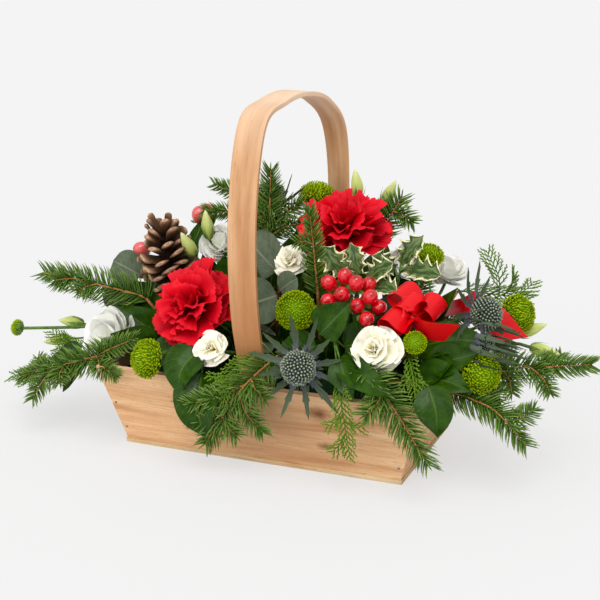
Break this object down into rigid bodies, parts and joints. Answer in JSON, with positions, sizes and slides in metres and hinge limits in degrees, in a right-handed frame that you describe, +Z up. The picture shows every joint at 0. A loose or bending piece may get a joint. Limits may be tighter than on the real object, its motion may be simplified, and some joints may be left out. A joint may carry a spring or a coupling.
{
  "type": "decorative basket",
  "caption": "Wooden trug with sloping boards and a fixed bent handle, filled with a winter arrangement of flowers, berries, a cone, a ribbon bow and evergreens in floral foam.",
  "frame": {"origin": "middle of the base board's underside, on the surface that the trug stands on", "axes": "+X along the trug's length to its right end, +Y to its back, +Z up"},
  "size_m": [0.5581, 0.2486, 0.3211],
  "materials": {
    "pine": "planed, dry",
    "ply": "rough sawn",
    "handle_wood": "bent strip, dry",
    "nail_steel": "bright wire",
    "liner_plastic": "thin tray",
    "foam": "wet foam",
    "red_petal": "soft frilled petal",
    "white_petal": "soft petal",
    "lime_petal": "short dense petals",
    "thistle": "dry florets",
    "cone": "dry scales",
    "ribbon": "satin",
    "bud": "smooth bud",
    "red_berry": "glossy skin",
    "coral_berry": "glossy skin",
    "holly_leaf": "waxy, pale margins",
    "eucalyptus_leaf": "waxy bloom",
    "dark_leaf": "waxy",
    "fir_needle": "needles",
    "cypress_spray": "scale leaves"
  },
  "bodies": {
    "root": {"base_board": "ply", "front_board": "pine", "back_board": "pine", "left_end_board": "pine", "right_end_board": "pine", "handle": "handle_wood", "handle_nail_front_low": "nail_steel", "handle_nail_front_high": "nail_steel", "handle_nail_back_low": "nail_steel", "handle_nail_back_high": "nail_steel", "liner": "liner_plastic", "floral_foam": "foam", "carnation_left": "red_petal", "carnation_right": "red_petal", "spray_carnation_front_left": "white_petal", "spray_carnation_centre": "white_petal", "spray_carnation_front_right": "white_petal", "button_mum_front_left": "lime_petal", "button_mum_centre": "lime_petal", "button_mum_back": "lime_petal", "button_mum_right_pair": "lime_petal", "button_mum_right_spray": "lime_petal", "button_mum_far_left": "lime_petal", "thistle_front": "thistle", "thistle_right": "thistle", "thistle_back": "thistle", "pine_cone": "cone", "ribbon_bow": "ribbon", "lisianthus_left": "white_petal", "lisianthus_back_left": "white_petal", "lisianthus_back_right": "white_petal", "lisianthus_buds_back": "bud", "lisianthus_buds_right": "bud", "hypericum_centre": "red_berry", "hypericum_left": "coral_berry", "holly_centre": "holly_leaf", "holly_right": "holly_leaf", "eucalyptus_left": "eucalyptus_leaf", "eucalyptus_centre": "eucalyptus_leaf", "salal_front_left": "dark_leaf", "salal_front_right": "dark_leaf", "salal_right": "dark_leaf", "salal_centre": "dark_leaf", "salal_left": "dark_leaf", "salal_back_left": "dark_leaf", "salal_back_right": "dark_leaf", "fir_left_high": "fir_needle", "fir_left_low": "fir_needle", "fir_front_left": "fir_needle", "fir_front_right": "fir_needle", "fir_right": "fir_needle", "fir_right_low": "fir_needle", "fir_top": "fir_needle", "fir_middle": "fir_needle", "fir_top_right": "fir_needle", "fir_back_left": "fir_needle", "fir_back_right": "fir_needle", "cypress_right": "cypress_spray", "cypress_front": "cypress_spray", "cypress_left": "cypress_spray"}
  },
  "joints": []
}
